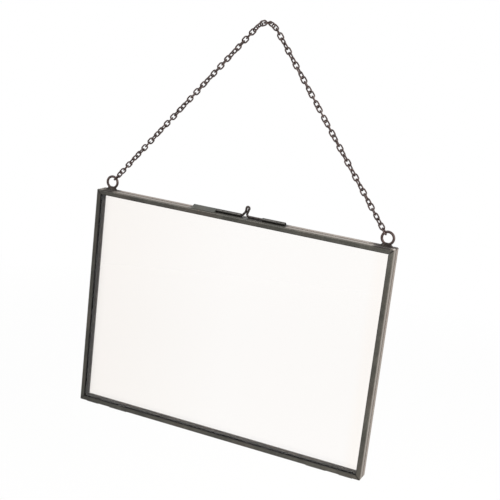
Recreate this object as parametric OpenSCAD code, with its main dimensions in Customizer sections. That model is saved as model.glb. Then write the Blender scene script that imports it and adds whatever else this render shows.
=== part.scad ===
// Double-sided photo frame: two glazed metal leaves hinged along the bottom,
// held shut by a sliding wire pin on top, and hung on a link chain.
// The origin is the point where the chain rests on its nail, +Z is up,
// and -Y is the front.

/* [Leaves] */
// Width of a leaf over its channels
frame_w = 182; // [120:1:300]
// Height of a leaf over its channels
frame_h = 131.8; // [90:0.2:240]
// Width of the channel's flanges over the pane
flange_w = 2.9; // [2.2:0.1:5]
// Thickness of the channel's sheet metal
sheet_t = 0.6; // [0.4:0.05:0.7]
// Outside radius of the channel's folded edges
fold_r = 0.7; // [0.4:0.05:0.9]
// Radius of a leaf's outer corners
corner_r = 0.9; // [0.4:0.1:1.2]
// Solder line left on each face of a mitre
mitre_gap = 0.03; // [0.01:0.01:0.1]
// Gap between the closed leaves, which grips the prints' margins
seam_gap = 0.2; // [0.1:0.05:0.4]

/* [Glass] */
// Thickness of a pane
glass_t = 3; // [2:0.5:4]
// Play between a pane and each flange
pane_play = 0.05; // [0.02:0.01:0.1]
// Play between a pane's edge and the channel's web
pane_edge_play = 0.15; // [0.05:0.05:0.4]

/* [Tubes and pins] */
// Outside diameter of the latch tubes
tube_od = 2; // [2:0.1:2.6]
// Diameter of the wire that the latch pin is bent from
pin_d = 1.3; // [0.9:0.05:1.35]
// Radial play of a pin in its tubes
pin_play = 0.05; // [0.02:0.01:0.08]
// Gap between a tube and the folded edges that it lies between
seat_gap = 0.03; // [0.01:0.01:0.08]
// Gap between two tubes on one pin
tube_gap = 0.3; // [0.2:0.05:0.6]
// Thickness of the sheet that a knuckle is rolled from
roll_t = 0.3; // [0.2:0.05:0.4]
// Reach of the solder behind a rear tube
solder_reach = 1.2; // [0.6:0.1:1.8]

/* [Latch] */
// Left end of the latch, measured from the middle of the frame
latch_x = -29.2; // [-34:0.2:-22]
// Length of the rolled knuckle on the front leaf
knuckle_len = 14.3; // [11:0.1:16]
// Width of its sheet that lies flat on the leaf before it rises
knuckle_flat = 0.6; // [0.4:0.1:1]
// Length of the left tube on the rear leaf
left_tube_len = 14.9; // [11:0.1:17]
// Length of bare wire between the two rear tubes
bare_len = 13.2; // [13.1:0.1:18]
// Length of the right tube on the rear leaf
right_tube_len = 13.7; // [13.5:0.1:18]
// Reach of the closed pin into the front knuckle
pin_reach = 6.4; // [5:0.1:7]
// Clear distance between the open pin and the front knuckle
open_clear = 1; // [0.6:0.1:1.4]
// Length of the pin's right leg inside the right tube when shut
right_grip = 5.4; // [4:0.1:6]

/* [Latch loop] */
// Bare wire between the left tube and the loop's left foot
loop_foot_gap = 0.1; // [0.1:0.1:0.6]
// Slope at which the wire leaves the left tube
loop_foot_angle = 50; // [40:1:60]
// Slope of the loop's left side
loop_rise_angle = 84; // [75:1:90]
// Slope of the loop's right side, past the vertical
loop_fall_angle = 108; // [95:1:112]
// Radius of the bend at the left foot
loop_foot_r = 1.1; // [0.8:0.1:1.5]
// Length of the straight above the left foot
loop_leg_len = 1.7; // [1:0.1:2.5]
// Radius of the sweep from the foot into the loop's left side
loop_sweep_r = 3; // [2:0.1:4]
// Length of the loop's straight left side
loop_side_len = 1.4; // [0.8:0.1:2]
// Radius of the loop's crown
loop_crown_r = 0.86; // [0.8:0.02:1.3]
// Radius of the bend at the right foot
loop_heel_r = 1.3; // [1:0.1:1.6]
// How far the wire swells where a bend starts or ends
bend_swell = 0.02; // [0.01:0.01:0.03]

/* [Hinges] */
// Distance from the leaf's end to a hinge's outer knuckle
hinge_inset = 4.7; // [3:0.1:30]
// Length of a hinge's outer knuckle, on the front leaf
outer_knuckle_len = 7.9; // [5:0.1:14]
// Length of a hinge's tube, on the rear leaf
hinge_tube_len = 7.3; // [5:0.1:14]
// Length of a hinge's inner knuckle, on the front leaf
inner_knuckle_len = 11.9; // [5:0.1:14]
// Outside diameter of the hinges' tube and knuckles
hinge_od = 1.5; // [1.4:0.1:1.8]
// Diameter of a hinge pin
hinge_pin_d = 0.8; // [0.6:0.05:0.85]
// Width of a hinge knuckle's sheet that lies flat under the leaf
hinge_flat = 1.8; // [1.6:0.1:2]
// Diameter of the peened heads of a hinge pin
pin_head_d = 1.2; // [1.1:0.05:1.35]
// Thickness of the peened heads
pin_head_t = 0.3; // [0.2:0.05:0.6]

/* [Hanging rings] */
// Distance of a ring's middle from the leaf's end
ring_inset = 6.2; // [5:0.1:30]
// Outside diameter of a ring
ring_od = 8.1; // [7.8:0.1:10]
// Diameter of a ring's wire
ring_wire = 1.45; // [1:0.05:1.5]
// Clear height of a ring's wire above the leaf
ring_lift = 0.2; // [0.1:0.05:0.4]
// Length of the solder bead under a ring, from tip to tip
bead_len = 6; // [5:0.1:8]
// Radius of the bead about the line between its tips
bead_r = 1.8; // [1.5:0.1:2]
// Height of the bead over the leaf
bead_h = 1.2; // [0.9:0.1:1.4]

/* [Chain] */
// Height of the nail above the frame
hang_height = 105; // [80:1:200]
// Sideways shift of the nail from the middle of the frame
nail_shift = 2; // [-4:0.2:4]
// Radius that the chain bends to over its nail
nail_r = 5.5; // [5:0.1:8]
// Diameter of the chain's wire
link_wire = 0.85; // [0.7:0.05:0.9]
// Inside width of a link
link_inner_w = 1.7; // [1.6:0.05:2]
// Wanted distance from one link to the next
link_pitch = 2.93; // [2.8:0.01:3.3]
// Play between the wires of two links
link_play = 0.1; // [0.06:0.01:0.2]
// Play between an end link and its ring
hook_play = 0.05; // [0.02:0.01:0.1]
// Number of links that bunch over the nail
crest_links = 6; // [4:1:8]
// Spacing of the bunched links, as a share of the pitch
crest_share = 0.88; // [0.8:0.01:1]

/* [Twist of the chain] */
// Turn of the end links out of the rings' plane
end_turn = 90; // [80:1:100]
// Number of links at each end that turn into the run's twist
settle_links = 3; // [3:1:3]
// Turn from link to link next to the left ring
left_settle_turn = 112; // [100:1:118]
// Turn from link to link along the left run
left_turn = 77.8; // [66:0.2:90]
// Turn from link to link next to the right ring
right_settle_turn = 96.3; // [80:0.1:100]
// Turn from link to link along the right run
right_turn = 62.4; // [62:0.2:90]
// Wanted turn from link to link over the nail
crest_turn = 72; // [68:1:90]

/* [Hidden] */

// Colours as the photographed frame shows them
front_metal = "#504E4A";
rear_metal = "#5C5650";
wire_metal = "#3C3432";
solder_metal = "#4A4844";
glass_tint = "#F2F6F3";

// Fineness of round shapes
wire_fn = 24;
round_fn = 48;
// One overrun for every cut that passes a face
over = 1;
// Half a link's straight side is a whole count of this step
link_step = 0.002;
half_turn = 180;

// Depth of one leaf, from its front face to its back face
leaf_t = glass_t + 2 * (sheet_t + pane_play);
// Distance between the middle planes of the two leaves
leaf_step = leaf_t + seam_gap;
// The rear leaf carries the rings, so its middle plane holds the chain
rear_y = 0;
front_y = rear_y - leaf_step;
seam_y = (rear_y + front_y) / 2;

// Middle of the frame and its outer faces
frame_x = -nail_shift;
top_z = -hang_height;
bottom_z = top_z - frame_h;
mid_z = (top_z + bottom_z) / 2;

// Where a folded edge ends on the flat of the channel, from the seam
edge_y = seam_gap / 2 + fold_r;
// Height of a tube's axis over the leaves, nested between two folded edges
function rise(od) = sqrt(pow(od / 2 + fold_r + seat_gap, 2) - pow(edge_y, 2)) - fold_r;

// Places along the latch, from the frame's middle
knuckle_end = latch_x + knuckle_len;
left_tube_x = knuckle_end + tube_gap;
left_tube_end = left_tube_x + left_tube_len;
right_tube_x = left_tube_end + bare_len;
pin_tip_x = knuckle_end - pin_reach;
pin_tail_x = right_tube_x + right_grip;
// How far the latch pin slides to free the front leaf
latch_travel = pin_reach + open_clear;

// Places along a hinge, from the leaf's end
hinge_tube_x = hinge_inset + outer_knuckle_len + tube_gap;
inner_knuckle_x = hinge_tube_x + hinge_tube_len + tube_gap;

// A ring's centre and the mean radius of its wire
ring_x = frame_w / 2 - ring_inset;
ring_z = top_z + ring_lift + ring_od / 2;
ring_mean_r = (ring_od - ring_wire) / 2;
left_ring_c = [frame_x - ring_x, ring_z];
right_ring_c = [frame_x + ring_x, ring_z];

// A link's mean end radius and outside width
link_r = (link_inner_w + link_wire) / 2;
link_w = link_inner_w + 2 * link_wire;
// Circle that the chain's middle line follows over the nail
crest_c = [0, -nail_r];
crest_r = nail_r + link_w / 2;

// Length of the tangent from point p to the circle of centre c and radius r
function tangent_len(p, c, r) = sqrt(pow(c.x - p.x, 2) + pow(c.y - p.y, 2) - r * r);

// Slope of the tangent from point p that passes over the circle
function tangent_angle(p, c, r) =
  atan2(c.y - p.y, abs(c.x - p.x)) + atan2(r, tangent_len(p, c, r));

// Point on a circle at an angle
function on_circle(c, r, a) = c + r * [cos(a), sin(a)];

// Both end links hook their rings at one height, on the side towards the nail
hook_angle = (tangent_angle(left_ring_c, crest_c, crest_r)
            + tangent_angle(right_ring_c, crest_c, crest_r)) / 2;
hook_r = ring_od / 2 - ring_wire - hook_play;
left_hook = on_circle(left_ring_c, hook_r, hook_angle);
right_hook = on_circle(right_ring_c, hook_r, half_turn - hook_angle);

// The chain's line: a straight run, the arc over the nail, a straight run
left_angle = tangent_angle(left_hook, crest_c, crest_r);
right_angle = tangent_angle(right_hook, crest_c, crest_r);
left_len = tangent_len(left_hook, crest_c, crest_r);
right_len = tangent_len(right_hook, crest_c, crest_r);
crest_len = crest_r * (left_angle + right_angle) * PI / half_turn;
chain_len = left_len + crest_len + right_len;

// Count of links, and the pitch that makes them close the line exactly
bunched = crest_links * (1 - crest_share);
link_count = round(chain_len / link_pitch + bunched);
pitch = chain_len / (link_count - bunched);
crest_first = round((left_len + crest_len / 2) / pitch - crest_links * crest_share / 2);
crest_last = crest_first + crest_links - 1;

// Distance along the chain's line to the start of link k
function joint_at(k) =
  pitch * (k - (1 - crest_share) * min(max(k - crest_first, 0), crest_links));

// Point on the chain's line at distance s from the left ring
function line_at(s) =
  s <= left_len ? on_circle(left_hook, s, left_angle)
  : s >= left_len + crest_len ? on_circle(right_hook, chain_len - s, half_turn - right_angle)
  : on_circle(crest_c, crest_r, 90 + left_angle - (s - left_len) / crest_r * half_turn / PI);

// Turn of a link about its own run, counted from each ring
function left_twist(i) =
  -(end_turn + left_settle_turn * min(i, settle_links) + left_turn * max(i - settle_links, 0));
function right_twist(j) =
  end_turn + right_settle_turn * min(j, settle_links) + right_turn * max(j - settle_links, 0);

// Over the nail the turn passes evenly from the left run's to the right run's
twist_a = crest_first - 1;
twist_b = crest_last + 2;
twist_span = twist_b - twist_a;
twist_start = left_twist(twist_a);
half_turns = round((twist_start - crest_turn * twist_span
                  - right_twist(link_count - 1 - twist_b)) / half_turn);
twist_end = right_twist(link_count - 1 - twist_b) + half_turn * half_turns;
function link_turn(i) =
  i <= twist_a ? left_twist(i)
  : i >= twist_b ? right_twist(link_count - 1 - i)
  : twist_start + (twist_end - twist_start) * (i - twist_a) / twist_span;

// Section of the channel, folded from one strip: x runs through the leaf's
// depth and y is the way out of the leaf, with the outer face at zero
module channel_section() {
  lip_r = sheet_t / 2;
  slot_t = leaf_t - 2 * sheet_t;
  difference() {
    union() {
      for (side = [-1, 1]) {
        translate([side * (leaf_t / 2 - fold_r), -fold_r]) circle(fold_r, $fn = round_fn);
        translate([side * (leaf_t / 2 - lip_r), -flange_w + lip_r])
          circle(lip_r, $fn = wire_fn);
      }
      translate([-leaf_t / 2 + fold_r, -fold_r]) square([leaf_t - 2 * fold_r, fold_r]);
      translate([-leaf_t / 2, -flange_w + lip_r])
        square([leaf_t, flange_w - lip_r - fold_r]);
    }
    translate([-slot_t / 2, -flange_w - over]) square([slot_t, flange_w + over - sheet_t]);
  }
}

// Plan of a strip seen from the front: mitred at both ends, corners rounded
module mitred_plan(len) {
  half = len / 2 - mitre_gap;
  intersection() {
    polygon([
      [-half - over, over], [half + over, over],
      [half - flange_w - over, -flange_w - over], [-half + flange_w + over, -flange_w - over]
    ]);
    union() {
      for (side = [-1, 1])
        translate([side * (len / 2 - corner_r), -corner_r]) circle(corner_r, $fn = round_fn);
      translate([-len / 2 + corner_r, -corner_r]) square([len - 2 * corner_r, corner_r]);
      translate([-len / 2, -flange_w - over]) square([len, flange_w + over - corner_r]);
    }
  }
}

// One strip of channel along X, its outer face up at height zero
module channel(len) {
  intersection() {
    rotate([90, 0, 90]) linear_extrude(len, center = true) channel_section();
    rotate([90, 0, 0]) linear_extrude(leaf_t + over, center = true) mitred_plan(len);
  }
}

// The four places of a strip on the leaf whose middle plane is at y
module top_channel(y) {
  translate([frame_x, y, top_z]) channel(frame_w);
}
module bottom_channel(y) {
  translate([frame_x, y, bottom_z]) mirror([0, 0, 1]) channel(frame_w);
}
module left_channel(y) {
  translate([frame_x - frame_w / 2, y, mid_z]) rotate([0, -90, 0]) channel(frame_h);
}
module right_channel(y) {
  translate([frame_x + frame_w / 2, y, mid_z]) rotate([0, 90, 0]) channel(frame_h);
}

// A pane fills the channels' slots to within its play
module pane(y) {
  inset = sheet_t + pane_edge_play;
  translate([frame_x, y, mid_z])
    cube([frame_w - 2 * inset, glass_t, frame_h - 2 * inset], center = true);
}

// A tube of size od along X, bored for a pin, and the metal that holds it to the
// leaf in front of it. The metal starts at distance reach from the seam with
// thickness lip, may run flat at first, and rises to meet the top of the tube.
module held_tube(len, od, pin, reach, flat, lip) {
  bore_r = pin / 2 + pin_play;
  knee = [flat - reach, lip];
  axis = [0, rise(od)];
  slope_r = od / 2 - seat_gap;
  slope = tangent_angle(knee, axis, slope_r);
  difference() {
    union() {
      translate([0, 0, axis.y]) rotate([0, 90, 0])
        cylinder(h = len, d = od, $fn = round_fn);
      rotate([90, 0, 90]) linear_extrude(len) polygon(concat(
        [[-reach, 0]], flat > 0 ? [[-reach, lip]] : [],
        [knee, on_circle(knee, tangent_len(knee, axis, slope_r), slope), axis, [-edge_y, 0]]
      ));
    }
    translate([-over, 0, axis.y]) rotate([0, 90, 0])
      cylinder(h = len + 2 * over, r = bore_r, $fn = wire_fn);
  }
}

// A knuckle rolled from sheet that covers the front leaf's edge face, up to
// distance edge from the leaf's front
module rolled_knuckle(len, od, pin, edge, flat) {
  held_tube(len, od, pin, seam_gap / 2 + leaf_t - edge, flat, roll_t);
}

// A tube held to the rear leaf by a run of solder behind it
module rear_tube(len, od, pin) {
  mirror([0, 1, 0]) held_tube(len, od, pin, edge_y + solder_reach, 0, roll_t / 2);
}

// Puts a tube on top of the leaves, starting at x from the frame's middle
module on_top(x) {
  translate([frame_x + x, seam_y, top_z]) children();
}

// The same under the leaves, at a distance from the left or the right end
module below(side, x, len) {
  from_middle = side < 0 ? x - frame_w / 2 : frame_w / 2 - x - len;
  translate([frame_x + from_middle, seam_y, bottom_z]) mirror([0, 0, 1]) children();
}

module front_latch() {
  on_top(latch_x) rolled_knuckle(knuckle_len, tube_od, pin_d, fold_r / 2, knuckle_flat);
}
module rear_latch(x, len) {
  on_top(x) rear_tube(len, tube_od, pin_d);
}

// Straight wire from a point in the X-Z plane, heading up at an angle from +X
module wire_run(from, heading, len) {
  translate([from.x, 0, from.y]) rotate([0, 90 - heading, 0])
    cylinder(h = len, d = pin_d, $fn = wire_fn);
}

// Wire at the start or the end of a bend, where it swells a little. The ball
// is turned to the wire's heading, so that its poles stay inside the wire.
module wire_joint(at, heading) {
  translate([at.x, 0, at.y]) rotate([0, 90 - heading, 0])
    sphere(d = pin_d + 2 * bend_swell, $fn = wire_fn);
}

// Bent wire about a centre, between two polar angles in the X-Z plane
module wire_bend(centre, r, start, sweep) {
  translate([centre.x, 0, centre.y]) rotate([90, 0, 0]) rotate([0, 0, start])
    rotate_extrude(angle = sweep, $fn = round_fn)
      translate([r, 0]) circle(d = pin_d, $fn = wire_fn);
}

// The latch pin, bent from one wire: a leg to the left, a loop to pull it by
// and a leg to the right, both legs on the tubes' axis
module latch_wire() {
  foot = [left_tube_end + loop_foot_gap, 0];
  foot_c = foot + loop_foot_r * [0, 1];
  leg = on_circle(foot_c, loop_foot_r, loop_foot_angle - 90);
  sweep_from = on_circle(leg, loop_leg_len, loop_foot_angle);
  sweep_c = on_circle(sweep_from, loop_sweep_r, loop_foot_angle + 90);
  side_from = on_circle(sweep_c, loop_sweep_r, loop_rise_angle - 90);
  crown_from = on_circle(side_from, loop_side_len, loop_rise_angle);
  crown_c = on_circle(crown_from, loop_crown_r, loop_rise_angle - 90);
  fall_from = on_circle(crown_c, loop_crown_r, 90 - loop_fall_angle);
  // The straight down to the heel is as long as brings the wire back to the axis
  heel_drop = loop_heel_r * (1 - cos(loop_fall_angle));
  fall_len = (fall_from.y - heel_drop) / sin(loop_fall_angle);
  heel_from = on_circle(fall_from, fall_len, -loop_fall_angle);
  heel_c = on_circle(heel_from, loop_heel_r, 90 - loop_fall_angle);

  wire_run([pin_tip_x, 0], 0, foot.x - pin_tip_x);
  wire_bend(foot_c, loop_foot_r, -90, loop_foot_angle);
  wire_run(leg, loop_foot_angle, loop_leg_len);
  wire_bend(sweep_c, loop_sweep_r, loop_foot_angle - 90, loop_rise_angle - loop_foot_angle);
  wire_run(side_from, loop_rise_angle, loop_side_len);
  wire_bend(crown_c, loop_crown_r, 90 - loop_fall_angle, loop_rise_angle + loop_fall_angle);
  wire_run(fall_from, -loop_fall_angle, fall_len);
  wire_bend(heel_c, loop_heel_r, -90 - loop_fall_angle, loop_fall_angle);
  wire_run([heel_c.x, 0], 0, pin_tail_x - heel_c.x);
  wire_joint(foot, 0);
  wire_joint(leg, loop_foot_angle);
  wire_joint(sweep_from, loop_foot_angle);
  wire_joint(side_from, loop_rise_angle);
  wire_joint(crown_from, loop_rise_angle);
  wire_joint(fall_from, -loop_fall_angle);
  wire_joint(heel_from, -loop_fall_angle);
  wire_joint([heel_c.x, 0], 0);
}

// A hinge's front knuckle that starts at x from the leaf's end
module hinge_knuckle(side, x, len) {
  below(side, x, len) rolled_knuckle(len, hinge_od, hinge_pin_d, fold_r, hinge_flat);
}
module hinge_tube(side) {
  below(side, hinge_tube_x, hinge_tube_len) rear_tube(hinge_tube_len, hinge_od, hinge_pin_d);
}
module hinge_pin(side) {
  len = inner_knuckle_x + inner_knuckle_len - hinge_inset + 2 * tube_gap;
  below(side, hinge_inset - tube_gap, len)
    translate([0, 0, rise(hinge_od)]) rotate([0, 90, 0]) {
      cylinder(h = len, d = hinge_pin_d, $fn = wire_fn);
      translate([0, 0, -pin_head_t]) cylinder(h = pin_head_t, d = pin_head_d, $fn = wire_fn);
      translate([0, 0, len]) cylinder(h = pin_head_t, d = pin_head_d, $fn = wire_fn);
    }
}

// Torus that stands in the X-Z plane
module upright_ring(mean_r, wire) {
  rotate([90, 0, 0]) rotate_extrude($fn = round_fn)
    translate([mean_r, 0]) circle(d = wire, $fn = wire_fn);
}
module hanging_ring(side) {
  translate([frame_x + side * ring_x, rear_y, ring_z]) upright_ring(ring_mean_r, ring_wire);
}

// Bead of solder that a ring stands in, a spindle with its lower part cut off
module solder_bead(side) {
  arc_r = (pow(bead_len / 2, 2) + pow(bead_r, 2)) / (2 * bead_r);
  difference() {
    translate([frame_x + side * ring_x, rear_y, top_z]) intersection() {
      translate([0, 0, bead_h - bead_r]) rotate([0, 90, 0]) rotate_extrude($fn = round_fn)
        intersection() {
          translate([bead_r - arc_r, 0]) circle(arc_r, $fn = round_fn);
          translate([0, -arc_r]) square([arc_r, 2 * arc_r]);
        }
      cylinder(h = bead_len, d = bead_len + over, $fn = round_fn);
    }
    translate([frame_x + side * ring_x, rear_y, ring_z])
      upright_ring(ring_mean_r, ring_wire + 2 * seat_gap);
  }
}

// One link about the origin, its length along X and its width along Z
module link() {
  straight = 2 * round((pitch + link_play - link_inner_w) / 2 / link_step) * link_step;
  for (side = [-1, 1]) {
    translate([side * straight / 2, 0, 0]) rotate([90, 0, 0]) rotate([0, 0, -side * 90])
      rotate_extrude(angle = half_turn, $fn = round_fn)
        translate([link_r, 0]) circle(d = link_wire, $fn = wire_fn);
    translate([-straight / 2, 0, side * link_r]) rotate([0, 90, 0])
      cylinder(h = straight, d = link_wire, $fn = wire_fn);
  }
}

// Links first to last, each from one joint of the chain's line to the next
module links(first, last) {
  for (i = [first : last]) {
    from = line_at(joint_at(i));
    to = line_at(joint_at(i + 1));
    middle = (from + to) / 2;
    slope = atan2(to.y - from.y, to.x - from.x);
    translate([middle.x, rear_y, middle.y])
      rotate([0, -slope, 0]) rotate([link_turn(i), 0, 0]) link();
  }
}

module front_top_channel() { color(front_metal) top_channel(front_y); }
module front_bottom_channel() { color(front_metal) bottom_channel(front_y); }
module front_left_channel() { color(front_metal) left_channel(front_y); }
module front_right_channel() { color(front_metal) right_channel(front_y); }
module front_glass() { color(glass_tint, 0.35) pane(front_y); }
module latch_knuckle() { color(front_metal) front_latch(); }

module rear_top_channel() { color(rear_metal) top_channel(rear_y); }
module rear_bottom_channel() { color(rear_metal) bottom_channel(rear_y); }
module rear_left_channel() { color(rear_metal) left_channel(rear_y); }
module rear_right_channel() { color(rear_metal) right_channel(rear_y); }
module rear_glass() { color(glass_tint, 0.35) pane(rear_y); }
module latch_tube_left() { color(rear_metal) rear_latch(left_tube_x, left_tube_len); }
module latch_tube_right() { color(rear_metal) rear_latch(right_tube_x, right_tube_len); }
module latch_pin() {
  color(wire_metal) on_top(0) translate([0, 0, rise(tube_od)]) latch_wire();
}

module left_outer_knuckle() {
  color(front_metal) hinge_knuckle(-1, hinge_inset, outer_knuckle_len);
}
module left_inner_knuckle() {
  color(front_metal) hinge_knuckle(-1, inner_knuckle_x, inner_knuckle_len);
}
module left_hinge_tube() { color(rear_metal) hinge_tube(-1); }
module left_hinge_pin() { color(wire_metal) hinge_pin(-1); }
module right_outer_knuckle() {
  color(front_metal) hinge_knuckle(1, hinge_inset, outer_knuckle_len);
}
module right_inner_knuckle() {
  color(front_metal) hinge_knuckle(1, inner_knuckle_x, inner_knuckle_len);
}
module right_hinge_tube() { color(rear_metal) hinge_tube(1); }
module right_hinge_pin() { color(wire_metal) hinge_pin(1); }

module left_ring() { color(wire_metal) hanging_ring(-1); }
module right_ring() { color(wire_metal) hanging_ring(1); }
module ring_solder() { color(solder_metal) for (side = [-1, 1]) solder_bead(side); }

module chain_end_link_left() { color(wire_metal) links(0, 0); }
module chain_left() { color(wire_metal) links(1, crest_first - 1); }
module chain_crest() { color(wire_metal) links(crest_first, crest_last); }
module chain_right() { color(wire_metal) links(crest_last + 1, link_count - 2); }
module chain_end_link_right() { color(wire_metal) links(link_count - 1, link_count - 1); }

front_top_channel();
front_bottom_channel();
front_left_channel();
front_right_channel();
front_glass();
latch_knuckle();
rear_top_channel();
rear_bottom_channel();
rear_left_channel();
rear_right_channel();
rear_glass();
latch_tube_left();
latch_tube_right();
latch_pin();
left_outer_knuckle();
left_inner_knuckle();
left_hinge_tube();
left_hinge_pin();
right_outer_knuckle();
right_inner_knuckle();
right_hinge_tube();
right_hinge_pin();
left_ring();
right_ring();
ring_solder();
chain_end_link_left();
chain_left();
chain_crest();
chain_right();
chain_end_link_right();
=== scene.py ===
"""Double-sided glazed photo frame hanging on a link chain.

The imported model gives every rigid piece. This script dresses those pieces as
patinated sheet steel, blackened wire, solder and float glass, pours the heaps
of solder at the rings' feet, and sets a plain studio round the frame.
"""

import logging
import math
from dataclasses import dataclass
from enum import Enum
from typing import Any, Iterable, Optional

import bmesh
import bpy
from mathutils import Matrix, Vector


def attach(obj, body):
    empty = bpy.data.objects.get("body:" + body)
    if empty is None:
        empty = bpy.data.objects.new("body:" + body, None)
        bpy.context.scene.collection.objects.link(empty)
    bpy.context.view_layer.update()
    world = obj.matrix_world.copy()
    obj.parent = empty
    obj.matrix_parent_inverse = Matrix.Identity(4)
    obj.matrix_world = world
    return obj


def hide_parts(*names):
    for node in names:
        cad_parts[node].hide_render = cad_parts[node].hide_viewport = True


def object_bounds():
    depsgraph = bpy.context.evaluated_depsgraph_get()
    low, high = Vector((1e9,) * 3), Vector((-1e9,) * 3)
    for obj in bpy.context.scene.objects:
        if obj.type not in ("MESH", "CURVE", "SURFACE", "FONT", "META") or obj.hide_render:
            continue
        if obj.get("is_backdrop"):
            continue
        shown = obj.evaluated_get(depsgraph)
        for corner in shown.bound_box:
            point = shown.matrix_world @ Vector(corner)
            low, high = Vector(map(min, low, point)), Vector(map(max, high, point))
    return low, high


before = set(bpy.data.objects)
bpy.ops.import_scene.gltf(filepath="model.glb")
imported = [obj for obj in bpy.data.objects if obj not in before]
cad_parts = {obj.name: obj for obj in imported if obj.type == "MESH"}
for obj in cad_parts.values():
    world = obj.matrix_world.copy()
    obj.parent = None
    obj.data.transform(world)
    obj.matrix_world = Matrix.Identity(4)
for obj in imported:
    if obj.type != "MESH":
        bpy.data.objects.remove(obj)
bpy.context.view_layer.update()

LOG = logging.getLogger("photo_frame")
MM = 0.001

# Nearly all of a noise's values lie between these two
NOISE_LOW = 0.3
NOISE_HIGH = 0.7

Tree = bpy.types.NodeTree
NodeRef = bpy.types.ShaderNode
Socket = bpy.types.NodeSocket
Span = tuple[float, float]
Triple = tuple[float, float, float]


class Layer(Enum):
    """The two glazed leaves of the frame."""

    FRONT = "front"
    REAR = "rear"


class Side(Enum):
    """The four sides of a leaf."""

    TOP = "top"
    BOTTOM = "bottom"
    LEFT = "left"
    RIGHT = "right"


ENDS = (Side.LEFT, Side.RIGHT)


def per_metre(millimetres: float) -> float:
    """Turns the real size of a pattern into a texture scale in Object coordinates."""
    return 1.0 / (millimetres * MM)


class Pattern(Enum):
    """How broken up a noise is, as its detail and its roughness."""

    SMOOTH = (2.0, 0.5)
    CLOUDY = (3.0, 0.55)
    PATCHY = (3.0, 0.6)
    CRISP = (4.0, 0.6)

    def sized(self, size_mm: float) -> dict[str, float]:
        """Gives a noise's constants.

        Args:
            size_mm: Real size of the pattern.

        Returns:
            Input name to constant.
        """
        detail, roughness = self.value
        return {"Scale": per_metre(size_mm), "Detail": detail, "Roughness": roughness}


def linear(hex_colour: str) -> tuple[float, float, float, float]:
    """Turns an sRGB hex colour into linear light.

    Args:
        hex_colour: Six hex digits with a leading hash.

    Returns:
        Red, green and blue in linear light, and an alpha of one.
    """
    shares = [int(hex_colour[i:i + 2], 16) / 255 for i in (1, 3, 5)]
    red, green, blue = (
        share / 12.92 if share <= 0.04045 else ((share + 0.055) / 1.055) ** 2.4
        for share in shares
    )
    return (red, green, blue, 1.0)


def add_node(
    tree: Tree,
    kind: str,
    links: Optional[dict[Any, Socket]] = None,
    values: Optional[dict[Any, Any]] = None,
    **settings: Any,
) -> NodeRef:
    """Adds one shader node.

    Args:
        tree: Node tree that takes the node.
        kind: Type name of the node.
        links: Input name or index to the socket that feeds it.
        values: Input name or index to its constant.
        **settings: Properties of the node itself.

    Returns:
        The new node.
    """
    node = tree.nodes.new(kind)
    for name, value in settings.items():
        setattr(node, name, value)
    for name, value in (values or {}).items():
        node.inputs[name].default_value = value
    for name, socket in (links or {}).items():
        tree.links.new(socket, node.inputs[name])
    return node


def colour_ramp(node: NodeRef, stops: Iterable[tuple[float, str]]) -> None:
    """Sets a Color Ramp's stops.

    Args:
        node: The Color Ramp node.
        stops: Position and sRGB hex colour of each stop, in order.
    """
    ramp = node.color_ramp
    for index, (place, shade) in enumerate(stops):
        stop = ramp.elements[index] if index < 2 else ramp.elements.new(place)
        stop.position = place
        stop.color = linear(shade)


@dataclass(frozen=True)
class LeafPlan:
    """The closed frame's outline, folds and seam, in millimetres, for the finishes."""

    middle_x: float = -2.0
    middle_z: float = -170.9
    width: float = 182.0
    height: float = 131.8
    top_z: float = -105.0
    ring_inset: float = 6.2
    fold: float = 1.2
    lip_from: float = 2.5
    lip_full: float = 2.75
    front_lip: float = -5.9
    inside_front: float = -3.3
    inside_back: float = -1.2
    seam: float = -2.25
    latch_from: float = -31.4
    latch_to: float = 25.4
    tubes_from: float = -16.9
    tube_reach: float = 1.4

    @property
    def ends(self) -> dict[str, float]:
        """Gives the places of the two ends, which a Map Range runs between.

        Returns:
            Input name to constant, for the left and the right end.
        """
        half = self.width / 2
        return {
            "From Min": (self.middle_x - half) * MM,
            "From Max": (self.middle_x + half) * MM,
        }


@dataclass(frozen=True)
class Finish:
    """A finish, which each kind below makes in its own way."""

    name: str

    def surface(self, tree: Tree) -> Socket:
        """Adds the nodes of the surface.

        Args:
            tree: Empty node tree of the material.

        Returns:
            The shader of the finished surface.
        """
        raise NotImplementedError

    def build(self) -> bpy.types.Material:
        """Makes the material.

        Returns:
            The finished material.
        """
        material = bpy.data.materials.new(self.name)
        material.use_nodes = True
        tree = material.node_tree
        tree.nodes.clear()
        shader = self.surface(tree)
        add_node(tree, "ShaderNodeOutputMaterial", {"Surface": shader})
        return material


@dataclass(frozen=True)
class Spot:
    """What the sheet's finish reads at each point of its surface.

    across, depth and up are its places along X, Y and Z. facing is how far it
    faces front or back, and upward how far it faces up on the top edge, both
    from zero to one. from_side and from_level are how far it lies inside the
    nearer upright and the nearer level edge, and inset is the smaller of them.
    noise is the fine mottle, which makes every mark uneven.
    """

    across: Socket
    depth: Socket
    up: Socket
    facing: Socket
    upward: Socket
    from_side: Socket
    from_level: Socket
    inset: Socket
    noise: Socket


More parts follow.
